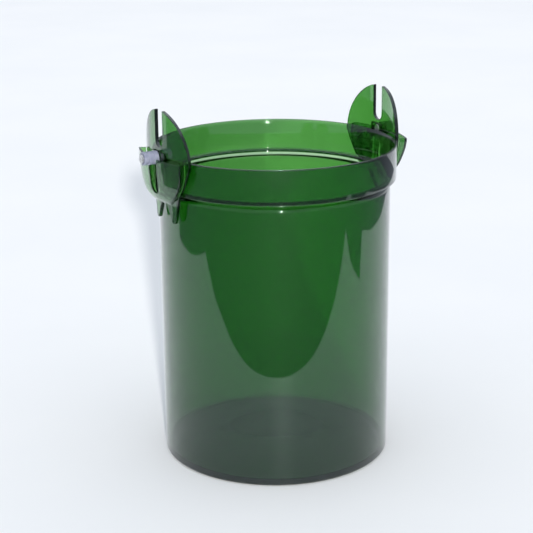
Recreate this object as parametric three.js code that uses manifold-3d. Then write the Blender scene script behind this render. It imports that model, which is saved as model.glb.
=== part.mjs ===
// Open vessel of a round canister filter, with the two side latches that draw its pump head down.
//
// Millimetres, +Z up. The origin is the middle of the flat underside, on the vessel's axis.
// The two latches sit on +X and -X and are the same parts, turned half a turn about the axis.
// Every shape of a latch is drawn once, on the +X side, where +X points out of the vessel,
// +Y runs along the collar and +Z runs up.
import * as THREE from 'three';
import { mergeVertices } from 'three/addons/utils/BufferGeometryUtils.js';
import Module from 'manifold-3d';

const wasm = await Module();
wasm.setup();

// ---- driving dimensions -------------------------------------------------------------------
const gap = 0.3; // clearance between neighbouring pieces

// vessel: one moulding with a straight body and a wider collar that takes the pump head
const bodyRadius = 97.5;
const collarRadius = 102.5;
const wall = 3;
const rimHeight = 269;
const stepHeight = 240.2; // underside of the collar
const ledgeHeight = 242.6; // inside shoulder that the pump head's seal rests on
const baseThickness = 3.6;
const baseEdgeRadius = 2.5;
const floorFillet = 4;

// ear plate: a slotted disc bent round the collar, narrowing to two feet below the step
const earThickness = 3;
const earInnerRadius = 103.9;
const earOuterRadius = earInnerRadius + earThickness;
const discHalfWidth = 38.6;
const discHalfHeight = 42;
const discHeight = 266; // height of the disc's centre
const slotWidth = 12.6;
const slotBottom = 277.4; // lowest point of the round slot end
const windowHalfWidth = 8.4;
const windowTop = 274.3;
const windowBottom = 238.6;
const leanStart = 242; // below this height the plate leans in under the collar
const leanEnd = 231;
const lean = 3.5;

// ratchet rack on one edge of the window
const toothPitch = 7.8;
const toothCount = 4;
const toothDepth = 6;
const notchHeight = 2.6;
const topNotchHeight = 265.6;

// guard: the pocket that stands off the ear plate and closes round its lower half
const guardOuterRadius = 113.4;
const guardWall = 1.9;
const guardLeft = -42;
const guardRight = 34.8;
const guardBottom = 232.6;
const guardTop = rimHeight;

// latch slide with its cross pin and roller
const slideTravel = toothPitch * (toothCount - 1);
const slideHalfWidth = 8;
const slideFlangeHalfWidth = 11.4;
const slideFlangeThickness = 1.4;
const slideTop = windowTop - gap;
const slideHeight = 11.6;
const pinHeight = 269.6;
const pinRadius = 2.6;
const pinHeadRadius = 3.7;
const pinEnd = 123.2;
const rollerRadius = 5.5;
const rollerEnd = 121.7;

const ringSegments = 96;
const roundSegments = 32;

// distances that lie clear of every latch piece, so that a cut or a trim passes right through
const insideLatch = 85;
const outsideLatch = 130;
const underLatch = 200;
const overLatch = 320;
const overcut = 5;

// ---- geometry helpers ---------------------------------------------------------------------

// closed three.js geometry -> solid that can be cut and joined
function solid(geometry) {
  const bare = geometry.clone();
  bare.deleteAttribute('normal');
  bare.deleteAttribute('uv');
  const merged = mergeVertices(bare, 1e-4);
  return new wasm.Manifold(new wasm.Mesh({
    numProp: 3,
    vertProperties: new Float32Array(merged.attributes.position.array),
    triVerts: new Uint32Array(merged.index.array),
  }));
}

// solid -> three.js geometry
function geometryOf(body) {
  const mesh = body.getMesh();
  const geometry = new THREE.BufferGeometry();
  geometry.setAttribute('position', new THREE.BufferAttribute(mesh.vertProperties, 3));
  geometry.setIndex(new THREE.BufferAttribute(mesh.triVerts, 1));
  geometry.computeVertexNormals();
  return geometry;
}

// body of revolution about +Z from a closed (radius, height) outline
function turned(outline, segments = ringSegments) {
  const points = outline.map(([radius, height]) => new THREE.Vector2(radius, height));
  points.push(points[0].clone());
  const geometry = new THREE.LatheGeometry(points, segments);
  geometry.rotateX(Math.PI / 2);
  return geometry;
}

// ring of a vessel-wide shell between two radii and two heights
function ring(innerRadius, outerRadius, bottom, top) {
  return solid(turned([
    [innerRadius, bottom], [outerRadius, bottom], [outerRadius, top], [innerRadius, top],
  ]));
}

// straight prism: an outline in (y, z) pushed along +X from one distance to another
function prism(outline, from, to) {
  const shape = outline instanceof THREE.Shape ? outline
    : new THREE.Shape(outline.map(([y, z]) => new THREE.Vector2(y, z)));
  const geometry = new THREE.ExtrudeGeometry(shape, {
    depth: to - from, bevelEnabled: false, curveSegments: 18,
  });
  // shape x -> +Y, shape y -> +Z, depth -> +X
  geometry.applyMatrix4(new THREE.Matrix4().makeBasis(
    new THREE.Vector3(0, 1, 0), new THREE.Vector3(0, 0, 1), new THREE.Vector3(1, 0, 0),
  ));
  geometry.translate(from, 0, 0);
  return solid(geometry);
}

// box from its low and high corners
function block([x0, y0, z0], [x1, y1, z1]) {
  const geometry = new THREE.BoxGeometry(x1 - x0, y1 - y0, z1 - z0);
  geometry.translate((x0 + x1) / 2, (y0 + y1) / 2, (z0 + z1) / 2);
  return solid(geometry);
}

// round bar along +X at the pin's height
function bar(radius, from, to) {
  const geometry = new THREE.CylinderGeometry(radius, radius, to - from, roundSegments);
  geometry.rotateZ(-Math.PI / 2);
  geometry.translate((from + to) / 2, 0, pinHeight);
  return solid(geometry);
}

// quarter-round corner of an outline, as (radius, height) points
function corner(centreRadius, centreHeight, radius, startAngle, endAngle, steps = 6) {
  return Array.from({ length: steps + 1 }, (_, i) => {
    const angle = startAngle + ((endAngle - startAngle) * i) / steps;
    return [centreRadius + radius * Math.cos(angle), centreHeight + radius * Math.sin(angle)];
  });
}

// ---- vessel -------------------------------------------------------------------------------

function vessel() {
  const rimRound = 0.8;
  const leadIn = 1.1;
  const leadInHeight = 3;
  const ledgeFillet = 1;
  const ledgeRound = 1.5;
  const bodyInner = bodyRadius - wall;
  const collarInner = collarRadius - wall;
  const quarter = Math.PI / 2;
  const outline = [
    [0, 0],
    ...corner(bodyRadius - baseEdgeRadius, baseEdgeRadius, baseEdgeRadius, -quarter, 0),
    [bodyRadius, stepHeight],
    ...corner(collarRadius - rimRound, stepHeight + rimRound, rimRound, -quarter, 0, 3),
    ...corner(collarRadius - rimRound, rimHeight - rimRound, rimRound, 0, quarter, 3),
    // the inner edge of the rim is led in for the pump head
    [collarInner + leadIn, rimHeight],
    [collarInner, rimHeight - leadInHeight],
    ...corner(collarInner - ledgeFillet, ledgeHeight + ledgeFillet, ledgeFillet, 0, -quarter, 3),
    ...corner(bodyInner + ledgeRound, ledgeHeight - ledgeRound, ledgeRound, quarter, 2 * quarter, 4),
    ...corner(bodyInner - floorFillet, baseThickness + floorFillet, floorFillet, 0, -quarter),
    [0, baseThickness],
  ];
  let body = solid(turned(outline));

  // two upright ribs behind each ear plate, which it is welded to
  const ribTop = rimHeight - 4;
  const ribBottom = stepHeight + 3;
  const ribOffset = 22;
  const ribHalfWidth = 3;
  const ribShell = ring(collarRadius - 1, earInnerRadius - gap, ribBottom, ribTop);
  for (const side of [-1, 1]) {
    const edges = [side * insideLatch, side * outsideLatch];
    for (const y of [-ribOffset, ribOffset]) {
      const slab = block(
        [Math.min(...edges), y - ribHalfWidth, ribBottom - 1],
        [Math.max(...edges), y + ribHalfWidth, ribTop + 1],
      );
      body = body.add(ribShell.intersect(slab));
    }
  }
  return body;
}

// ---- ear plate ----------------------------------------------------------------------------

// disc whose lower half narrows to a waist and forks into two feet
function earOutline() {
  const shape = new THREE.Shape();
  const waist = { y: 20.4, z: 232 };
  const footSole = 216.2;
  shape.moveTo(discHalfWidth, discHeight);
  shape.absellipse(0, discHeight, discHalfWidth, discHalfHeight, 0, Math.PI, false, 0);
  shape.quadraticCurveTo(-34, 250, -waist.y, waist.z);
  shape.lineTo(-17.8, 220);
  shape.quadraticCurveTo(-17, footSole, -14.8, footSole);
  shape.quadraticCurveTo(-12.6, footSole, -11.4, 219);
  shape.lineTo(-6.4, 228.6);
  shape.quadraticCurveTo(0, 238.5, 6.4, 228.6);
  shape.lineTo(11.4, 219);
  shape.quadraticCurveTo(12.6, footSole, 14.8, footSole);
  shape.quadraticCurveTo(17, footSole, 17.8, 220);
  shape.lineTo(waist.y, waist.z);
  shape.quadraticCurveTo(34, 250, discHalfWidth, discHeight);
  return shape;
}

// upright shell of the plate, leaning in below the collar's step; its face may be set out
function earShell(innerOffset, outerOffset) {
  const inner = earInnerRadius + innerOffset;
  const outer = earOuterRadius + outerOffset;
  return solid(turned([
    [inner - lean, underLatch], [outer - lean, underLatch],
    [outer - lean, leanEnd], [outer, leanStart], [outer, overLatch],
    [inner, overLatch], [inner, leanStart], [inner - lean, leanEnd],
  ]));
}

// slot that is open at the top and round at its lower end
function slotOutline() {
  const half = slotWidth / 2;
  const shape = new THREE.Shape();
  shape.moveTo(half, overLatch);
  shape.lineTo(-half, overLatch);
  shape.lineTo(-half, slotBottom + half);
  shape.absarc(0, slotBottom + half, half, Math.PI, 2 * Math.PI, false);
  return shape;
}

// one ratchet notch: flat on top, so that a tooth can't rise, and sloping below
const notchEndHeight = 0.7;
function notchOutline(top) {
  return [
    [windowHalfWidth - 1, top],
    [windowHalfWidth - 1, top - notchHeight],
    [windowHalfWidth, top - notchHeight],
    [windowHalfWidth + toothDepth, top - notchEndHeight],
    [windowHalfWidth + toothDepth, top],
  ];
}

function earPlate() {
  let plate = earShell(0, 0).intersect(prism(earOutline(), insideLatch, outsideLatch));
  plate = plate.subtract(prism(slotOutline(), insideLatch, outsideLatch));
  plate = plate.subtract(block(
    [insideLatch, -windowHalfWidth, windowBottom],
    [outsideLatch, windowHalfWidth, windowTop],
  ));
  for (let i = 0; i < toothCount; i += 1) {
    const notch = notchOutline(topNotchHeight - i * toothPitch);
    plate = plate.subtract(prism(notch, insideLatch, outsideLatch));
  }
  return plate;
}

// ---- guard --------------------------------------------------------------------------------

// outline of the guard seen square on, drawn in by an inset all round except at its open top
function guardOutline(inset, topExtra) {
  const left = guardLeft + inset;
  const right = guardRight - inset;
  const bottom = guardBottom + inset * 1.2;
  const shape = new THREE.Shape();
  shape.moveTo(right, guardTop + topExtra);
  shape.lineTo(left, guardTop + topExtra);
  shape.lineTo(left, guardTop - 3);
  shape.quadraticCurveTo(left + 8, 250, -18 + inset * 0.8, bottom);
  shape.lineTo(14.6 - inset * 0.8, bottom);
  shape.quadraticCurveTo(32 - inset, 240, right, guardTop - 9);
  return shape;
}

// round-bellied body whose outer face leans in towards the bottom, made smaller by an offset
function guardBelly(offset, innerRadius, top) {
  const skin = [
    [105.6, guardBottom - 1], [108.4, 234.6], [110.4, 238], [111.7, 243], [112.5, 250],
    [guardOuterRadius, 260],
  ];
  return solid(turned([
    [innerRadius, guardBottom - 1],
    ...skin.map(([radius, height]) => [radius - offset, height]),
    [guardOuterRadius - offset, top],
    [innerRadius, top],
  ]));
}

function guard() {
  const foot = earOuterRadius + gap;
  const core = foot - lean - 1;
  const outside = guardBelly(0, core, guardTop)
    .intersect(prism(guardOutline(0, 0), insideLatch, outsideLatch));
  const inside = guardBelly(guardWall, core - 2, guardTop + overcut)
    .intersect(prism(guardOutline(guardWall, overcut), insideLatch, outsideLatch));
  let body = outside.subtract(inside);

  // two upright rails that hold the slide against the ear plate
  const railFace = foot + slideFlangeThickness + gap;
  const railOffset = 8.4;
  const railHalfWidth = 1;
  const railBottom = 238;
  const railSink = 0.6; // how far under the guard's skin a rail's outer edge lies
  for (const side of [-1, 1]) {
    const rail = block(
      [insideLatch, side * railOffset - railHalfWidth, railBottom],
      [outsideLatch, side * railOffset + railHalfWidth, guardTop - 1],
    );
    body = body.add(guardBelly(railSink, railFace, guardTop).intersect(rail));
  }

  // the guard's back follows the ear plate's face
  body = body.subtract(earShell(-10, gap));

  // slot that the roller runs down
  const slotHalf = rollerRadius + 2 * gap;
  const slotEnd = pinHeight - slideTravel;
  const rollerSlot = new THREE.Shape();
  rollerSlot.moveTo(slotHalf, guardTop + overcut);
  rollerSlot.lineTo(-slotHalf, guardTop + overcut);
  rollerSlot.lineTo(-slotHalf, slotEnd);
  rollerSlot.absarc(0, slotEnd, slotHalf, Math.PI, 2 * Math.PI, false);
  return body.subtract(prism(rollerSlot, foot + 1, outsideLatch));
}

// ---- latch slide, pin and roller ----------------------------------------------------------

const slideBack = collarRadius + 0.7;
const slideFace = earOuterRadius + gap + slideFlangeThickness;
const pinHeadThickness = 1.1;
const pinHeadSink = 0.1; // how far the pin's inner head lies in from the slide's back

// upright piece of the slide between two radii, as wide as twice the given half width
function slidePlate(innerRadius, halfWidth) {
  const bottom = slideTop - slideHeight;
  return ring(innerRadius, slideFace, bottom, slideTop).intersect(block(
    [insideLatch, -halfWidth, bottom - 1],
    [outsideLatch, halfWidth, slideTop + 1],
  ));
}

function slide() {
  // a slit frees a thin springy finger along the edge that faces the rack
  const slitSide = 6;
  const slitWidth = 0.7;
  const slitTop = slideTop - 2.4;
  const slit = block(
    [insideLatch, slitSide, slideTop - slideHeight - 1],
    [earOuterRadius + 0.1, slitSide + slitWidth, slitTop],
  );
  const headRecess = slideBack + pinHeadSink + pinHeadThickness + gap + 0.1;
  return slidePlate(slideBack, slideHalfWidth)
    .add(slidePlate(earOuterRadius + gap, slideFlangeHalfWidth))
    .subtract(slit)
    .subtract(bar(pinRadius + gap, insideLatch, outsideLatch))
    .subtract(bar(pinHeadRadius + gap, insideLatch, headRecess));
}

function pin() {
  const headBack = slideBack + pinHeadSink;
  return bar(pinRadius, headBack, pinEnd)
    .add(bar(pinHeadRadius, headBack, headBack + pinHeadThickness))
    .add(bar(pinHeadRadius, rollerEnd + gap, pinEnd));
}

function roller() {
  return bar(rollerRadius, slideFace + gap, rollerEnd)
    .subtract(bar(pinRadius + gap, insideLatch, outsideLatch));
}

// ---- assembly -----------------------------------------------------------------------------

const clearGreen = new THREE.MeshStandardMaterial({
  color: 0x5aa83f, roughness: 0.12, metalness: 0, transparent: true, opacity: 0.55,
});
const greyPlastic = new THREE.MeshStandardMaterial({ color: 0x8b8f9b, roughness: 0.45, metalness: 0 });
const steel = new THREE.MeshStandardMaterial({ color: 0xb9bcc0, roughness: 0.3, metalness: 1 });

function named(name, body, material) {
  const mesh = new THREE.Mesh(geometryOf(body), material);
  mesh.name = name;
  return mesh;
}

const canisterVessel = new THREE.Group();
canisterVessel.add(named('canister', vessel(), clearGreen));

const latchPieces = [
  ['ear_plate', earPlate(), clearGreen],
  ['latch_guard', guard(), clearGreen],
  ['latch_slide', slide(), clearGreen],
  ['latch_pin', pin(), steel],
  ['latch_roller', roller(), greyPlastic],
];
for (const [side, turn] of [['right', 0], ['left', Math.PI]]) {
  const latch = new THREE.Group();
  for (const [name, body, material] of latchPieces) {
    latch.add(named(`${name}_${side}`, body, material));
  }
  latch.rotation.z = turn;
  canisterVessel.add(latch);
}

export default canisterVessel;
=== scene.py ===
# %% [markdown]
# # An open vessel for a canister filter, in clear green plastic
# The object is a tall round tub, moulded in one shot from clear green plastic. A wider collar
# at the top takes the pump head. On the left and right of the collar stands a latch: a slotted
# ear plate, a guard pocket outside it, and a slide with a steel pin and a grey roller.
# The frame that is loaded first is the measured model, and every piece below is built around it.

# %% Load the measured frame
import bpy
import bmesh
import math
from mathutils import Matrix, Vector


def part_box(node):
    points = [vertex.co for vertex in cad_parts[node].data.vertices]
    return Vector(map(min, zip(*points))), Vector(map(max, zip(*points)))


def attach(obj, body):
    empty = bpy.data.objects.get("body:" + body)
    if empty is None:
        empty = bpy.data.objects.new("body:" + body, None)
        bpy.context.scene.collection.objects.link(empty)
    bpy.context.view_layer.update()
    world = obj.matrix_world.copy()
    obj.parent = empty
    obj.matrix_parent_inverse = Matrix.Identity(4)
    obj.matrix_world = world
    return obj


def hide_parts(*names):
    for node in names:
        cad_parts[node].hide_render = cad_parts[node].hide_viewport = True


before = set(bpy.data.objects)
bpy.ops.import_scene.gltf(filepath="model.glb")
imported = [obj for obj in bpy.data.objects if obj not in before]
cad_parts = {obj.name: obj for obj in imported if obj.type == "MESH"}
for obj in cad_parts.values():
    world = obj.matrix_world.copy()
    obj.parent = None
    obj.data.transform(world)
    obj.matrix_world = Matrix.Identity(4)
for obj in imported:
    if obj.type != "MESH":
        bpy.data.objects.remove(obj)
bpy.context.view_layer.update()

# %% [markdown]
# ## The camera
# The camera stands in front and to the left, a little above the rim, and looks slightly down
# into the open vessel. A long lens keeps the upright sides nearly parallel. It is placed by
# its distance from the vessel's axis and by three turns, so each number has one meaning.

# %% Camera
mm = 0.001
camera_distance = 1.2071
camera_height = 0.5286
camera_bearing = math.radians(30.10)
looking_turn = math.radians(29.75)
looking_down = math.radians(16.96)
camera_roll = math.radians(-0.51)
lens_length = 99.2
sensor_width = 36

camera_data = bpy.data.cameras.new("camera")
camera_data.sensor_width = sensor_width
camera_data.lens = lens_length
camera_data.clip_start = 0.05
camera = bpy.data.objects.new("camera", camera_data)
bpy.context.scene.collection.objects.link(camera)
bpy.context.scene.camera = camera
camera.matrix_world = (
    Matrix.Translation((
        -camera_distance * math.sin(camera_bearing),
        -camera_distance * math.cos(camera_bearing),
        camera_height,
    ))
    @ Matrix.Rotation(-looking_turn, 4, "Z")
    @ Matrix.Rotation(math.pi / 2 - looking_down, 4, "X")
    @ Matrix.Rotation(camera_roll, 4, "Z")
)
print("camera at", [round(v, 3) for v in camera.matrix_world.translation])

# %% [markdown]
# ## Small tools for materials
# Every finish is a set of nodes, so a few short helpers keep the cells readable: one adds a
# node and sets its values, and the others give a cloudy pattern, a colour or a value that
# follows a pattern, and shallow relief.

# %% Material helpers
def new_material(name):
    """A new node material, with its tree and its main shader."""
    material = bpy.data.materials.new(name)
    material.use_nodes = True
    return material, material.node_tree, material.node_tree.nodes["Principled BSDF"]


def node(tree, kind, **values):
    """Adds a node; each value goes to the input of that name, or to the node's own setting."""
    made = tree.nodes.new(kind)
    for key, value in values.items():
        socket = made.inputs.get(key.replace("_", " "))
        if socket is None:
            setattr(made, key, value)
        else:
            socket.default_value = value
    return made


def noise(tree, where, scale, detail=3, stretch=(1, 1, 1)):
    """A cloudy pattern between 0 and 1, stretched along the axes."""
    mapping = node(tree, "ShaderNodeMapping")
    mapping.inputs["Scale"].default_value = stretch
    tree.links.new(where, mapping.inputs["Vector"])
    pattern = node(tree, "ShaderNodeTexNoise", Scale=scale, Detail=detail)
    tree.links.new(mapping.outputs["Vector"], pattern.inputs["Vector"])
    return pattern.outputs["Fac"]


def ramp(tree, source, *stops):
    """Turns a value into a colour, by stops of (position, colour)."""
    made = node(tree, "ShaderNodeValToRGB")
    elements = made.color_ramp.elements
    while len(elements) < len(stops):
        elements.new(0.5)
    for element, (position, colour) in zip(elements, stops):
        element.position = position
        element.color = (*colour, 1)
    tree.links.new(source, made.inputs["Fac"])
    return made.outputs["Color"]


def spread(tree, source, low, high):
    """Maps a value of 0 to 1 onto the range from low to high."""
    made = node(tree, "ShaderNodeMapRange")
    made.inputs["To Min"].default_value = low
    made.inputs["To Max"].default_value = high
    tree.links.new(source, made.inputs["Value"])
    return made.outputs["Result"]


def bump(tree, height, distance, strength=1.0, under=None):
    """Shallow relief from a pattern, laid over another relief if there is one."""
    made = node(tree, "ShaderNodeBump", Distance=distance, Strength=strength)
    tree.links.new(height, made.inputs["Height"])
    if under is not None:
        tree.links.new(under, made.inputs["Normal"])
    return made.outputs["Normal"]


print("material helpers ready")

# %% [markdown]
# ## Clear green plastic
# The vessel and most of each latch are clear SAN, a glossy plastic with a refractive index of
# about 1.57. Its colour sits in the depth of the wall, not on the skin: one 3 mm wall is grass
# green, two walls are bottle green, and an edge seen along its length is nearly black. A volume
# that absorbs light gives all three from one setting: each metre takes away so much red, green
# and blue. The skin gets faint moulding waves, fine upright rubbing marks and a thin film of
# handling grime, which is never quite even. A thin clear coat and a slight cyan lean in the
# reflection were chosen to give the skin its milky, cool shine.

# %% Clear green material
plastic_ior = 1.57
plastic_roughness = 0.03
polish_amount = 0.55
polish_ior = 1.5
reflection_tint = (0.8, 1, 0.98, 1)
clean_skin = (1, 1, 1)
grimy_skin = (0.955, 0.97, 0.95)
wave_depth = 0.06 * mm
rub_depth = 0.004 * mm
absorbed_per_metre = (770, 335, 890)
absorption_density = 1000


def make_clear_green():
    material, tree, shader = new_material("green_san")
    place = node(tree, "ShaderNodeTexCoord").outputs["Object"]
    film = noise(tree, place, 22, 4, (1, 1, 0.6))
    tint = ramp(tree, film, (0.3, grimy_skin), (0.7, clean_skin))
    tree.links.new(tint, shader.inputs["Base Color"])
    waves = noise(tree, place, 16, 1, (1, 1, 0.25))
    rubs = noise(tree, place, 420, 2, (1, 1, 0.05))
    skin = bump(tree, waves, wave_depth, 0.6)
    skin = bump(tree, rubs, rub_depth, 0.5, skin)
    tree.links.new(skin, shader.inputs["Normal"])
    shader.inputs["Roughness"].default_value = plastic_roughness
    shader.inputs["IOR"].default_value = plastic_ior
    shader.inputs["Coat Weight"].default_value = polish_amount
    shader.inputs["Coat Roughness"].default_value = plastic_roughness
    shader.inputs["Coat IOR"].default_value = polish_ior
    shader.inputs["Specular Tint"].default_value = reflection_tint
    shader.inputs["Transmission Weight"].default_value = 1
    depth = node(tree, "ShaderNodeVolumeAbsorption", Density=absorption_density)
    depth.inputs["Color"].default_value = (
        *(1 - taken / absorption_density for taken in absorbed_per_metre), 1,
    )
    output = tree.nodes["Material Output"]
    tree.links.new(depth.outputs["Volume"], output.inputs["Volume"])
    return material


clear_green = make_clear_green()
print("made", clear_green.name)

# %% [markdown]
# ## Grey roller plastic
# The rollers are dull grey acetal, a slippery plastic that shows fine tool marks and gets
# lighter rubs where it turns against the guard. Three greys, mixed by a fine cloudy pattern,
# give the rubs. A second pattern spreads the roughness, and a third one is the tool marks.

# %% Grey roller material
def make_grey_plastic():
    material, tree, shader = new_material("roller_acetal")
    place = node(tree, "ShaderNodeTexCoord").outputs["Object"]
    clouds = noise(tree, place, 260, 4)
    colour = ramp(
        tree, clouds, (0.3, (0.175, 0.19, 0.27)), (0.6, (0.25, 0.265, 0.345)), (0.8, (0.34, 0.35, 0.42)),
    )
    tree.links.new(colour, shader.inputs["Base Color"])
    rough = spread(tree, noise(tree, place, 900, 3), 0.34, 0.58)
    tree.links.new(rough, shader.inputs["Roughness"])
    skin = bump(tree, noise(tree, place, 1500, 2, (0.2, 1, 1)), 0.03 * mm, 0.6)
    tree.links.new(skin, shader.inputs["Normal"])
    return material


grey_plastic = make_grey_plastic()
print("made", grey_plastic.name)

# %% [markdown]
# ## Steel for the pins
# The pins are turned steel with a slightly uneven polish and small dark spots from wet use. A
# metal needs no more than a bright base colour and a roughness that wanders; the spots are
# the dark end of the same pattern.

# %% Steel pin material
def make_steel():
    material, tree, shader = new_material("pin_steel")
    place = node(tree, "ShaderNodeTexCoord").outputs["Object"]
    spots = noise(tree, place, 700, 4)
    colour = ramp(
        tree, spots, (0.28, (0.3, 0.28, 0.25)), (0.4, (0.6, 0.6, 0.6)), (0.7, (0.72, 0.73, 0.74)),
    )
    tree.links.new(colour, shader.inputs["Base Color"])
    shader.inputs["Metallic"].default_value = 1
    tree.links.new(spread(tree, spots, 0.42, 0.2), shader.inputs["Roughness"])
    rings = noise(tree, place, 3000, 2, (1, 0.05, 0.05))
    tree.links.new(bump(tree, rings, 0.01 * mm, 0.5), shader.inputs["Normal"])
    return material


steel = make_steel()
print("made", steel.name)

# %% [markdown]
# ## Turning an outline into a body
# The vessel is round, so it is drawn as half a section and turned about its axis. Corners are
# arcs, because a mould never has a knife edge, and it is those small rounds that catch light.

# %% Helpers for meshes
def arc(centre, radius, start, end, steps=8):
    return [
        (
            centre[0] + radius * math.cos(math.radians(start + (end - start) * i / steps)),
            centre[1] + radius * math.sin(math.radians(start + (end - start) * i / steps)),
        )
        for i in range(steps + 1)
    ]


def outward(body):
    """Turns a closed body's faces so that they all look out of it."""
    bmesh.ops.recalc_face_normals(body, faces=body.faces)
    if body.calc_volume(signed=True) < 0:
        bmesh.ops.reverse_faces(body, faces=body.faces)
    return body


def turned(outline, segments):
    """A closed body of revolution about Z; the outline runs from the axis round to the axis."""
    body = bmesh.new()
    rings = []
    for radius, height in outline:
        if radius < 1e-7:
            rings.append([body.verts.new((0, 0, height))])
            continue
        rings.append([
            body.verts.new((
                radius * math.cos(2 * math.pi * i / segments),
                radius * math.sin(2 * math.pi * i / segments),
                height,
            ))
            for i in range(segments)
        ])
    for lower, upper in zip(rings, rings[1:]):
        for i in range(segments):
            j = (i + 1) % segments
            corners = [
                lower[i % len(lower)], lower[j % len(lower)], upper[j % len(upper)], upper[i % len(upper)],
            ]
            body.faces.new(dict.fromkeys(corners))
    return outward(body)


def piece(name, shape, body, material, stands_for, smooth=35):
    """Makes an object from a bmesh, with its body and the node it stands for."""
    mesh = bpy.data.meshes.new(name)
    shape.to_mesh(mesh)
    shape.free()
    mesh.polygons.foreach_set("use_smooth", [True] * len(mesh.polygons))
    mesh.set_sharp_from_angle(angle=math.radians(smooth))
    mesh.materials.append(material)
    made = bpy.data.objects.new(name, mesh)
    bpy.context.scene.collection.objects.link(made)
    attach(made, body)
    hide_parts(stands_for)
    print(name, "has", len(mesh.polygons), "faces")
    return made


# %% [markdown]
# ## The vessel's outline
# Base, body, shoulder and collar are one moulding with a 3 mm wall. The radii come from the
# frame: the collar is the widest round part, and the body is 5 mm smaller. Below the collar
# the body rounds off into a shoulder, which catches a line of light from above. Inside, the
# step becomes a narrow ledge for the pump head's seal, and the rim is led in above it. Under
# the base is a small round mark where the plastic entered the mould. All this is one outline,
# drawn from the middle of the base up the outside, over the rim and down the inside.

# %% Vessel outline
vessel_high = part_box("canister")[1]
collar_radius = vessel_high.y
rim_height = vessel_high.z
wall = 3 * mm
body_radius = collar_radius - 5 * mm
step_height = rim_height - 28.8 * mm
ledge_height = step_height + 2.4 * mm
base_thickness = 3.6 * mm


def vessel_outline():
    """The section of the vessel's wall, from the middle of the base round to the middle again."""
    edge = 2.5 * mm
    rim_round = 0.8 * mm
    fillet = 4 * mm
    body_inner = body_radius - wall
    collar_inner = collar_radius - wall
    lead_in = 1.1 * mm
    step_fillet = 0.25 * mm
    shoulder = 7 * mm
    shoulder_turn = 46
    shoulder_drop = 7.4 * mm
    neck_radius = body_radius - shoulder * (1 - math.cos(math.radians(shoulder_turn)))
    gate_radius = 3.2 * mm
    gate_depth = 0.25 * mm
    flat_radius = body_radius - 22 * mm
    lip = 0.4 * mm
    ledge_round = mm
    ledge_edge = 1.5 * mm
    return [
        (0, gate_depth),
        (gate_radius, gate_depth),
        (gate_radius + 0.4 * mm, 0),
        (flat_radius, 0),
        *arc((body_radius - edge, edge), edge, -90, 0),
        (body_radius, step_height * 0.25),
        (body_radius, step_height * 0.5),
        (body_radius, step_height * 0.75),
        (body_radius, step_height - shoulder_drop - 2 * mm),
        *arc((body_radius - shoulder, step_height - shoulder_drop), shoulder, 0, shoulder_turn, 12),
        *arc((neck_radius + step_fillet, step_height - step_fillet), step_fillet, 180, 90, 3),
        *arc((collar_radius - rim_round, step_height + rim_round), rim_round, -90, 0, 6),
        (collar_radius, (step_height + rim_height) / 2),
        *arc((collar_radius - rim_round, rim_height - rim_round), rim_round, 0, 90, 6),
        *arc((collar_inner + lead_in + 0.3 * mm, rim_height - lip), lip, 90, 160, 4),
        (collar_inner, rim_height - 3 * mm),
        *arc((collar_inner - ledge_round, ledge_height + ledge_round), ledge_round, 0, -90, 5),
        *arc((body_inner + ledge_edge, ledge_height - ledge_edge), ledge_edge, 90, 180, 6),
        (body_inner, step_height * 0.75),
        (body_inner, step_height * 0.5),
        (body_inner, step_height * 0.25),
        *arc((body_inner - fillet, base_thickness + fillet), fillet, 0, -90),
        (flat_radius, base_thickness),
        (0, base_thickness),
    ]


print("collar radius", round(collar_radius, 4), "rim at", round(rim_height, 4))

# %% [markdown]
# ## Turning the vessel
# The outline is spun about the upright axis, as clay is on a wheel. Many segments keep the
# reflections in the clear wall smooth, where a few would break them into upright stripes.

# %% Vessel body
vessel_segments = 288
piece(
    "vessel_moulding", turned(vessel_outline(), vessel_segments), "vessel", clear_green,
    "canister", smooth=50,
)

# %% [markdown]
# ## Bent plates
# The latch pieces are thin plates that follow the collar's curve. Each is drawn flat first:
# an outline gets rounded edges by stepping it inwards, and the two faces are filled. The flat
# plate is then cut into narrow strips, which cost nothing while it is flat but let it bend
# smoothly. A last step wraps it round the vessel and, below the collar, leans it inwards.

# %% Drawing outlines
def curve(start, pull, end, steps=8):
    """Points of a curve from start to end that is pulled towards a third point."""
    points = []
    for i in range(1, steps + 1):
        t = i / steps
        points.append(tuple(
            (1 - t) ** 2 * a + 2 * t * (1 - t) * b + t * t * c for a, b, c in zip(start, pull, end)
        ))
    return points


def mirrored(points):
    """The other half of a shape that is the same on both sides of the middle line."""
    return [(-y, z) for y, z in reversed(points)]


def stepped_in(loop, distance):
    """The loop moved into the plate by a distance; the plate lies on the loop's left side."""
    moved = []
    for before, here, after in zip(loop[-1:] + loop[:-1], loop, loop[1:] + loop[:1]):
        first = Vector((before[1] - here[1], here[0] - before[0])).normalized()
        second = Vector((here[1] - after[1], after[0] - here[0])).normalized()
        side = (first + second) / max(1 + first.dot(second), 0.35)
        moved.append((here[0] + distance * side.x, here[1] + distance * side.y))
    return moved


print("outline helpers ready")

# %% [markdown]
# ## From an outline to a plate
# A moulded plate has no sharp edges. Its side is a stack of rings: each ring is the outline,
# stepped in by what a quarter circle asks for at that depth. Both faces are then filled,
# holes and all.

# %% Flat plates
def ring_of(plate, loop, depth):
    """The loop as points of the plate at one depth."""
    return [plate.verts.new((y, z, depth)) for y, z in loop]


def join_rings(plate, first, second, closed=True):
    """A band of faces between two rings of the same length."""
    count = len(first) if closed else len(first) - 1
    for i in range(count):
        j = (i + 1) % len(first)
        plate.faces.new((first[i], first[j], second[j], second[i]))


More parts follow.
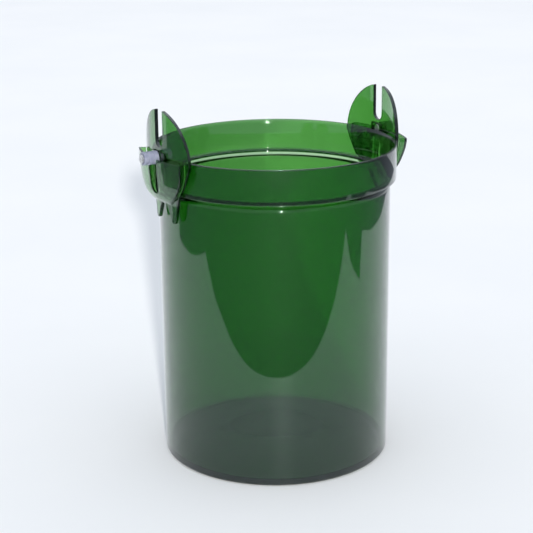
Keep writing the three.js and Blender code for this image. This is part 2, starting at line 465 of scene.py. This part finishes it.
def fill(plate, *rings):
    """A flat face inside the first ring and round the others."""
    edges = []
    for ring in rings:
        for a, b in zip(ring, ring[1:] + ring[:1]):
            edges.append(plate.edges.get((a, b)) or plate.edges.new((a, b)))
    bmesh.ops.triangle_fill(plate, edges=edges, use_beauty=True)


def rounded_steps(radius, steps=3):
    """Pairs of (step inwards, depth from the face) round a quarter circle."""
    quarter = [math.pi / 2 * i / steps for i in range(steps + 1)]
    return [(radius * (1 - math.sin(a)), radius * (1 - math.cos(a))) for a in quarter]


def flat_plate(loops, thickness, edge=0.4 * mm):
    """A plate with rounded edges; the first loop is its outside and the others are holes."""
    plate = bmesh.new()
    sides = [(inwards, depth) for inwards, depth in rounded_steps(edge)]
    sides += [(inwards, thickness - depth) for inwards, depth in reversed(sides)]
    ends = [[], []]
    for loop in loops:
        rings = [ring_of(plate, stepped_in(loop, inwards), depth) for inwards, depth in sides]
        for first, second in zip(rings, rings[1:]):
            join_rings(plate, first, second)
        ends[0].append(rings[0])
        ends[1].append(rings[-1])
    fill(plate, *ends[0])
    fill(plate, *ends[1])
    return plate


print("plate helpers ready")

# %% [markdown]
# ## Bending a plate round the vessel
# The flat plate is cut into narrow upright strips, which cost nothing while it is flat but let
# it bend smoothly. Every point is then moved to an angle and a radius. The radius is given by
# a small function of height and depth, so that a plate can also lean or belly out.

# %% Wrapping
def wrap(plate, radius_at, turn, strip=3 * mm, rows=()):
    """Cuts the flat plate into strips, wraps it round the vessel and turns it to its side."""
    wide = max(abs(v.co.x) for v in plate.verts)
    last_strip = int(wide / strip)
    cuts = [((i * strip, 0, 0), (1, 0, 0)) for i in range(-last_strip, last_strip + 1)]
    cuts += [((0, z, 0), (0, 1, 0)) for z in rows]
    for place, direction in cuts:
        everything = plate.verts[:] + plate.edges[:] + plate.faces[:]
        bmesh.ops.bisect_plane(plate, geom=everything, dist=1e-6, plane_co=place, plane_no=direction)
    for v in plate.verts:
        y, z, depth = v.co
        angle = math.asin(y / ear_outer) + turn
        radius = radius_at(z, depth)
        v.co = (radius * math.cos(angle), radius * math.sin(angle), z)
    return outward(plate)


def add_to(shape, part):
    """Puts a finished bent part into a bigger shape."""
    mesh = bpy.data.meshes.new("part")
    part.to_mesh(mesh)
    part.free()
    shape.from_mesh(mesh)
    bpy.data.meshes.remove(mesh)


def levels(low, high, count):
    """Evenly spaced heights from low to high."""
    return [low + (high - low) * i / count for i in range(count + 1)]


sides = {"right": 0, "left": math.pi}
ear_low, ear_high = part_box("ear_plate_right")
ear_outer = ear_high.x
ear_inner = ear_outer - 3 * mm
print("ear plate outer radius", round(ear_outer, 4))

# %% [markdown]
# ## The ear plates
# Each ear is a disc with a slot down from its top, which narrows below into a fork with two
# feet. A window is cut through its middle, and one edge of the window has four notches, flat
# on top and sloping below, so that a latch can step down and not slip back up.

# %% Ear plate outline
disc_half_width = ear_high.y
disc_half_height = 42 * mm
disc_middle = rim_height - 3 * mm
foot_sole = ear_low.z
slot_half = 6.3 * mm
slot_bottom = rim_height + 8.4 * mm
window_half = 8.4 * mm
window_top = rim_height + 5.3 * mm
window_bottom = rim_height - 30.4 * mm
notch_pitch = 7.8 * mm
notch_count = 4
notch_height = 2.6 * mm
notch_depth = 6 * mm
notch_flat = 0.7 * mm
first_notch = rim_height - 3.4 * mm
lean_start = step_height + 1.8 * mm
lean_end = step_height - 9.2 * mm
lean_in = 3.5 * mm
print("disc is", round(2 * disc_half_width, 4), "wide")

# %% [markdown]
# ## Drawing the ear
# Only the right half of the ear is drawn. It starts in the fork, goes round one foot, up the
# waist and round the disc to the slot; the left half is the same turned over. The window is
# a second loop. A plate is flat in its upper part, and a smooth function leans it inwards
# below the collar, where the body is narrower.

# %% Ear outlines
def above_sole(across, up):
    """A point of the fork, in millimetres across from its middle and up from its sole."""
    return (across * mm, foot_sole + up * mm)


def ear_half():
    """Right half of the ear's outline, from the middle of its fork up to the slot."""
    half = [above_sole(0, 17.3)]
    half += curve(half[-1], above_sole(3.4, 17), above_sole(6.4, 12.4), 4)
    half += [above_sole(11.4, 2.8)]
    half += curve(half[-1], above_sole(12.6, 0), above_sole(14.8, 0), 4)
    half += curve(half[-1], above_sole(17, 0), above_sole(17.8, 3.8), 4)
    half += [(20.4 * mm, lean_end + mm)]
    half += curve(half[-1], (34 * mm, disc_middle - 16 * mm), (disc_half_width, disc_middle), 12)
    steps = 22
    last = math.acos(slot_half / disc_half_width)
    for i in range(1, steps + 1):
        turned_by = last * i / steps
        half += [(
            disc_half_width * math.cos(turned_by),
            disc_middle + disc_half_height * math.sin(turned_by),
        )]
    half += [(slot_half, slot_bottom + slot_half)]
    round_end = arc((0, slot_bottom + slot_half), slot_half, 0, -90, 6)
    return half + round_end[1:]


def ear_loop():
    """The whole outline of the ear."""
    half = ear_half()
    return half + mirrored(half)[1:-1]


def window_loop():
    """The window in the ear, with its notches on the right edge."""
    loop = [(window_half, window_bottom), (-window_half, window_bottom), (-window_half, window_top)]
    loop += [(window_half, window_top)]
    for i in range(notch_count):
        top = first_notch - i * notch_pitch
        loop += [
            (window_half, top),
            (window_half + notch_depth, top),
            (window_half + notch_depth, top - notch_flat),
            (window_half, top - notch_height),
        ]
    return loop


def lean(z):
    """How far a plate leans in at a height: nothing above the step, all of it at the feet."""
    t = min(max((lean_start - z) / (lean_start - lean_end), 0), 1)
    return lean_in * t * t * (3 - 2 * t)


print("ear outline has", len(ear_loop()), "points")

# %% [markdown]
# ## Making both ears
# Both ears are the same moulding, so one loop makes them, half a turn apart. Extra rows are
# cut across the part that leans, so that it bends in a curve and not at a crease. A small
# angle for smooth shading keeps the flat faces flat up to their rounded edges.

# %% Ear plates
plate_smoothing = 14
for side, turn in sides.items():
    plate = flat_plate([ear_loop(), window_loop()], ear_outer - ear_inner)
    wrap(
        plate, lambda z, depth: ear_inner + depth - lean(z), turn,
        rows=levels(lean_end - mm, lean_start + mm, 9),
    )
    piece(
        f"ear_{side}", plate, "vessel", clear_green, f"ear_plate_{side}",
        smooth=plate_smoothing,
    )

# %% [markdown]
# ## The weld ribs
# The moulded vessel carries two upright ribs behind each ear, and the ear is welded to them.
# They could be cut out of the vessel's own mesh, but short plates bent to the same curve are
# simpler, and they fill the space between the collar and the ear all the same.

# %% Weld ribs
rib_middle = 22 * mm
rib_half_width = 3 * mm
rib_bottom = step_height + 3 * mm
rib_top = rim_height - 4 * mm
rib_gap = 0.02 * mm
rib_thickness = ear_inner - collar_radius - 2 * rib_gap


def rib_loop(middle):
    """The outline of one rib."""
    return [
        (middle - rib_half_width, rib_bottom), (middle + rib_half_width, rib_bottom),
        (middle + rib_half_width, rib_top), (middle - rib_half_width, rib_top),
    ]


for side, turn in sides.items():
    ribs = bmesh.new()
    for middle in (-rib_middle, rib_middle):
        rib = flat_plate([rib_loop(middle)], rib_thickness, edge=0.15 * mm)
        wrap(rib, lambda z, depth: collar_radius + rib_gap + depth, turn)
        add_to(ribs, rib)
    piece(f"weld_ribs_{side}", ribs, "vessel", clear_green, "canister", smooth=30)

# %% [markdown]
# ## The guards
# Outside the lower half of each ear stands a guard, an open-topped pocket like half a cup. It
# keeps fingers and hoses off the latch. Its skin bellies outwards and closes against the ear
# at the bottom. A slot with a round end lets the pin travel, and two rails behind the skin
# hold the slide.

# %% Guard sizes
guard_low, guard_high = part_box("latch_guard_right")
guard_outer = guard_high.x
guard_wall = 1.7 * mm
guard_left = guard_low.y
guard_right = guard_high.y
guard_bottom = guard_low.z
guard_top = guard_high.z
guard_room = 4 * mm
pin_height = rim_height + 0.6 * mm
slide_travel = notch_pitch * (notch_count - 1)
guard_slot_half = 6.1 * mm
guard_edge = 0.4 * mm
back_gap = 0.35 * mm
print("guard stands from", round(guard_bottom, 4), "to", round(guard_top, 4))

# %% [markdown]
# ## Drawing the guard
# The guard's outline is open at the top and a little longer on one side. The inset gives the
# same outline again for the inner side of the wall. The slot is the part of the same loop
# that dips down from the top edge.

# %% Guard outline
def guard_path(inset):
    """The guard's edge from its left top corner, round the bottom, to its right top corner."""
    left = guard_left + inset
    right = guard_right - inset
    bottom = guard_bottom + inset * 1.2
    path = [(left, guard_top), (left, guard_top - 3 * mm)]
    bottom_left = (-18 * mm + inset * 0.8, bottom)
    bottom_right = (14.6 * mm - inset * 0.8, bottom)
    path += curve(path[-1], (left + 8 * mm, guard_top - 19 * mm), bottom_left, 14)
    path += [bottom_right]
    path += curve(path[-1], (32 * mm - inset, guard_top - 29 * mm), (right, guard_top - 9 * mm), 10)
    return path + [(right, guard_top)]


def guard_slot():
    """The roller's slot, open at the top, with a round end at the bottom of the travel."""
    end = pin_height - slide_travel
    return [
        (guard_slot_half, guard_top),
        *arc((0, end), guard_slot_half, 0, -180, 12),
        (-guard_slot_half, guard_top),
    ]


print("guard outline has", len(guard_path(0)) + len(guard_slot()), "points")

# %% [markdown]
# ## The guard's belly
# Seen from the side the guard is like half a cup: upright at the top, then curving in faster
# and faster to meet the ear. Two powers of the distance below the top, one slow and one
# quick, give that curve. The shell is a skin, a rim all round and the space between them.

# %% Guard shell
belly_start = guard_top - 9 * mm
belly_length = 28.4 * mm
slow_fall = 2.4 * mm
quick_fall = 5.4 * mm


def guard_radius(z, depth):
    """Radius of the guard's skin at a height; depth is 0 at its back and full at its face."""
    fall = min(max((belly_start - z) / belly_length, 0), 1)
    face = guard_outer - slow_fall * fall - quick_fall * fall ** 6
    back = ear_outer + back_gap - lean(z)
    inner = max(face - guard_wall, back + 0.05 * mm)
    if depth >= guard_room:
        return inner + (face - inner) * (depth - guard_room) / guard_wall
    return back + (inner - back) * depth / guard_room


def guard_shape():
    """The flat guard: a skin with rounded edges in front, and a rim that reaches back."""
    shape = bmesh.new()
    full = guard_room + guard_wall
    outer = guard_path(0)
    count = len(outer)
    rings = [
        ring_of(shape, stepped_in(outer + guard_slot(), inwards), full - depth)
        for inwards, depth in rounded_steps(guard_edge)
    ]
    for first, second in zip(rings, rings[1:]):
        join_rings(shape, first, second)
    fill(shape, rings[0])
    face = rings[-1]
    floor = ring_of(shape, guard_path(guard_wall) + guard_slot(), guard_room)
    fill(shape, floor)
    back_out = ring_of(shape, outer, 0)
    back_in = ring_of(shape, guard_path(guard_wall), 0)
    join_rings(shape, face[:count], back_out, closed=False)
    join_rings(shape, back_out, back_in, closed=False)
    join_rings(shape, back_in, floor[:count], closed=False)
    join_rings(shape, face[count:], floor[count:], closed=False)
    shape.faces.new((
        face[count - 1], face[count], floor[count], floor[count - 1], back_in[-1], back_out[-1],
    ))
    shape.faces.new((face[-1], face[0], back_out[0], back_in[0], floor[0], floor[-1]))
    return shape


print("guard belly falls in by", round(slow_fall + quick_fall, 4))

# %% [markdown]
# ## Rails and making both guards
# Two upright rails behind the skin keep the slide against the ear. Their backs are level, so
# that the slide runs straight, and their fronts sink a little into the bellied skin. They are
# bent like the guard and join its mesh.

# %% Guards with their rails
rail_thickness = 2.1 * mm
rail_middle = 8.4 * mm
rail_half_width = 1 * mm
rail_sink = 0.6 * mm
rail_edge = 0.2 * mm
rail_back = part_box("latch_slide_right")[1].x + 0.4 * mm


def rail_loop(middle):
    """The outline of one rail."""
    left, right = middle - rail_half_width, middle + rail_half_width
    low, high = guard_bottom + 9 * mm, guard_top - mm
    return [(left, low), (right, low), (right, high), (left, high)]


def rail_radius(z, depth):
    """Radius of a rail: level at its back, and sunk a little into the guard's skin in front."""
    front = guard_radius(z, guard_room) + rail_sink
    return rail_back + (front - rail_back) * depth / rail_thickness


for side, turn in sides.items():
    shape = guard_shape()
    wrap(shape, guard_radius, turn, rows=levels(guard_bottom + mm, guard_top - 7 * mm, 14))
    for middle in (-rail_middle, rail_middle):
        rail = flat_plate([rail_loop(middle)], rail_thickness, edge=rail_edge)
        wrap(rail, rail_radius, turn, rows=levels(guard_bottom + 10 * mm, guard_top - 7 * mm, 8))
        add_to(shape, rail)
    piece(
        f"guard_{side}", shape, "vessel", clear_green, f"latch_guard_{side}",
        smooth=plate_smoothing,
    )

# %% [markdown]
# ## Slides
# The slide is a small block of the same green plastic. It runs in the ear's window and has a
# springy finger towards the notches. The measured block already has the right shape, so it
# stays and only gets rounded edges and the finish. Two modifiers do that without touching the
# block's own mesh: the first joins points that lie together, the second rounds the corners.

# %% Latch slides
for side in sides:
    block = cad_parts[f"latch_slide_{side}"]
    block.data.materials.clear()
    block.data.materials.append(clear_green)
    weld = block.modifiers.new("weld", "WELD")
    weld.merge_threshold = 0.01 * mm
    rounding = block.modifiers.new("edges", "BEVEL")
    rounding.width = 0.2 * mm
    rounding.segments = 2
    rounding.limit_method = "ANGLE"
    rounding.angle_limit = math.radians(50)
    print(block.name, "keeps its", len(block.data.polygons), "faces")

# %% [markdown]
# ## Pins and rollers
# A turned steel pin goes through the slide. A grey plastic roller turns on it, so that the
# pump head's hook rolls over the latch and doesn't scrape. The roller has rounded ends and two
# shallow grooves that hold grease; the pin's heads are chamfered, with a small centre mark.

# %% Pin and roller sizes
def along_pin(body, turn):
    """Lays a body that was turned about Z along the pin, out from the vessel."""
    side_turn = Matrix.Rotation(turn, 4, "Z")
    lift = Matrix.Translation((0, 0, pin_height))
    lay = side_turn @ lift @ Matrix.Rotation(math.pi / 2, 4, "Y")
    bmesh.ops.transform(body, matrix=lay, verts=body.verts)
    return body


pin_low, pin_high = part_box("latch_pin_right")
roller_low, roller_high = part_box("latch_roller_right")
pin_radius = 2.6 * mm
head_radius = (pin_high.z - pin_low.z) / 2
roller_radius = (roller_high.z - roller_low.z) / 2
print("roller is", round(2 * roller_radius, 4), "across and", round(roller_high.x - roller_low.x, 4), "long")

# %% [markdown]
# ## Outlines of the pin and the roller
# Both are bodies of revolution, so each is one outline of (radius, length). The pin's runs
# from its inner end to its outer one. The roller's is a closed loop, because it has a bore.

# %% Pin and roller outlines


def pin_outline():
    """The pin: a thin head at each end, and a centre mark in the outer one."""
    back, front = pin_low.x, pin_high.x
    chamfer = 0.35 * mm
    head = 1.1 * mm
    neck = roller_high.x + 0.3 * mm
    mark_radius, mark_depth = 0.9 * mm, 0.7 * mm
    return [
        (0, back), (head_radius - chamfer, back), (head_radius, back + chamfer),
        (head_radius, back + head), (pin_radius, back + head), (pin_radius, neck),
        (head_radius, neck), (head_radius, front - chamfer), (head_radius - chamfer, front),
        (mark_radius, front), (0, front - mark_depth),
    ]


def roller_loop():
    """The roller: rounded ends, two grooves for grease, and a bore."""
    start, end = roller_low.x, roller_high.x
    edge = 0.7 * mm
    bore = pin_radius + 0.3 * mm
    groove = 0.35 * mm
    groove_top, groove_floor = 0.8 * mm, 0.4 * mm
    loop = [(bore, start), (roller_radius - edge, start)]
    loop += arc((roller_radius - edge, start + edge), edge, -90, 0, 5)[1:]
    for middle in (start + (end - start) * 0.3, start + (end - start) * 0.7):
        loop += [
            (roller_radius, middle - groove_top), (roller_radius - groove, middle - groove_floor),
            (roller_radius - groove, middle + groove_floor), (roller_radius, middle + groove_top),
        ]
    loop += arc((roller_radius - edge, end - edge), edge, 0, 90, 5)
    return loop + [(bore, end), (bore, start)]


print("pin outline has", len(pin_outline()), "points, roller", len(roller_loop()))

# %% [markdown]
# ## Turning them and laying them in place
# A pin goes up and down with its slide. A roller has a body of its own, because it also turns
# on the pin. The loop of the roller starts and ends at one point, so the doubled ring there
# is merged to close the body.

# %% Pins and rollers
pin_segments = 48
roller_segments = 64
metal_smoothing = 30

for side, turn in sides.items():
    body = f"slide_{side}"
    pin = along_pin(turned(pin_outline(), pin_segments), turn)
    piece(f"pin_{side}", pin, body, steel, f"latch_pin_{side}", smooth=metal_smoothing)
    roller = turned(roller_loop(), roller_segments)
    bmesh.ops.remove_doubles(roller, verts=roller.verts, dist=1e-7)
    outward(roller)
    piece(
        f"roller_{side}", along_pin(roller, turn), f"roller_{side}", grey_plastic,
        f"latch_roller_{side}", smooth=metal_smoothing,
    )

# %% [markdown]
# ## The floor
# A pale matt sheet carries the vessel. It is one large face a hair below the base, so that the
# two surfaces don't flicker into each other. Faint clouds in its grey and a fine grain keep
# it from looking like empty space.

# %% Floor
def plain_sheet(name, corners, height, material):
    """A flat sheet of the stage, which is not part of the object."""
    sheet = bmesh.new()
    sheet.faces.new([sheet.verts.new((x, y, height)) for x, y in corners])
    mesh = bpy.data.meshes.new(name)
    sheet.to_mesh(mesh)
    sheet.free()
    mesh.materials.append(material)
    made = bpy.data.objects.new(name, mesh)
    bpy.context.scene.collection.objects.link(made)
    return made


def make_floor_paper():
    material, tree, shader = new_material("floor_sheet")
    place = node(tree, "ShaderNodeTexCoord").outputs["Object"]
    clouds = noise(tree, place, 3, 3)
    colour = ramp(tree, clouds, (0.3, (0.86, 0.865, 0.875)), (0.7, (0.89, 0.89, 0.895)))
    tree.links.new(colour, shader.inputs["Base Color"])
    shader.inputs["Roughness"].default_value = 0.6
    shader.inputs["Specular IOR Level"].default_value = 0.1
    grain = bump(tree, noise(tree, place, 300, 2), 0.05 * mm)
    tree.links.new(grain, shader.inputs["Normal"])
    return material


far = 9
floor_corners = ((-far, -far), (far, -far), (far, far), (-far, far))
floor_sheet = plain_sheet("floor_sheet", floor_corners, -0.2 * mm, make_floor_paper())
print("made", floor_sheet.name)

# %% [markdown]
# ## Black cards
# A clear, glossy wall mirrors what lies in front of it. Where it mirrors the pale table it
# looks milky, and where it mirrors the dark room beyond the table's edge it stays deep green,
# so the table's outline shows on it as a long tongue. The table here has no edge, so black
# cards lie where it would end. Only reflections see them: not the camera, and not the light.

# %% Black cards
def make_card_black():
    material, _, shader = new_material("black_card")
    shader.inputs["Base Color"].default_value = (0.15, 0.17, 0.19, 1)
    shader.inputs["Roughness"].default_value = 0.9
    return material


card_black = make_card_black()


def black_card(name, corners):
    """A card that lies on the table, turned square to the camera."""
    made = plain_sheet(name, corners, 0, card_black)
    made.rotation_euler.z = -looking_turn
    made.visible_camera = False
    made.visible_diffuse = False
    made.visible_transmission = False
    made.visible_shadow = False


table_front = ((0.8, -0.3), (0.33, -0.33), (0, -0.344), (-0.36, -0.335), (-0.7, -0.28))
table_left = (table_front[-1], (-0.72, -0.07), (-0.76, 0.18), (-far, 3.4))
table_right = (
    (0.6, 0.9), (0.7, 0.52), (0.765, 0.31), (0.83, 0), (0.605, -0.05), (0.675, -0.19), table_front[0],
)
left_y = table_front[-1][1]
right_y = table_front[0][1]
black_card("front_card", ((-far, left_y), (-far, -far), (far, -far), (far, right_y), *table_front))
black_card("left_card", (*table_left, (-far, left_y)))
black_card("right_card", ((far, right_y), (far, 0.9), *table_right))
print("table edge in front is", -table_front[2][1], "m from the axis")

# %% [markdown]
# ## The sky
# Soft light comes from all round, as in a white tent, and more of it from above, as from a
# bright ceiling. The ceiling gives the rounded shoulder and the rims their lines of light. A
# ramp on how steeply a direction rises makes the difference.

# %% Sky
low_light = (0.37, 0.4, 0.44)
ceiling_light = (0.9, 0.96, 1.04)
ceiling_starts, ceiling_full = 0.57, 0.67
sky_strength = 1.08

world = bpy.data.worlds.new("tent")
bpy.context.scene.world = world
world.use_nodes = True
sky = world.node_tree
direction = node(sky, "ShaderNodeSeparateXYZ")
sky.links.new(node(sky, "ShaderNodeTexCoord").outputs["Generated"], direction.inputs["Vector"])
tent = ramp(sky, direction.outputs["Z"], (ceiling_starts, low_light), (ceiling_full, ceiling_light))
sky.links.new(tent, sky.nodes["Background"].inputs["Color"])
sky.nodes["Background"].inputs["Strength"].default_value = sky_strength
print("made the world", world.name)

# %% [markdown]
# ## The lamps
# The key light stands low and a little to the right of the camera, so that the shadow falls
# behind the vessel and shows as a pale strip on its left. It is a sun lamp, whose light is as
# strong far behind the vessel as in front. A wide, weak lamp lifts the floor at the back.

# %% Lamps
def lamp(name, kind, place, aim, power, colour):
    """A lamp of one kind that looks from its place at its aim."""
    data = bpy.data.lights.new(name, kind)
    data.energy = power
    data.color = colour
    made = bpy.data.objects.new(name, data)
    made.location = place
    made.rotation_euler = (Vector(aim) - Vector(place)).to_track_quat("-Z", "Y").to_euler()
    bpy.context.scene.collection.objects.link(made)
    return made


middle = Vector((0, 0, rim_height / 2))
key_bearing = math.radians(23.5)
key_height = math.radians(15)
key_reach = Vector((0, -math.cos(key_height), math.sin(key_height)))
key_place = middle + Matrix.Rotation(-key_bearing, 4, "Z") @ key_reach
key = lamp("key", "SUN", key_place, middle, 3.4, (1, 0.97, 0.93))
key.data.angle = math.radians(2)

sweep = lamp("sweep", "AREA", (1.0, 1.6, 2.2), (0.9, 1.7, 0), 3, (1, 1, 1))
sweep.data.shape = "DISK"
sweep.data.size = 2.4
bpy.context.scene.view_settings.view_transform = "Standard"
print("lamps:", key.name, sweep.name)
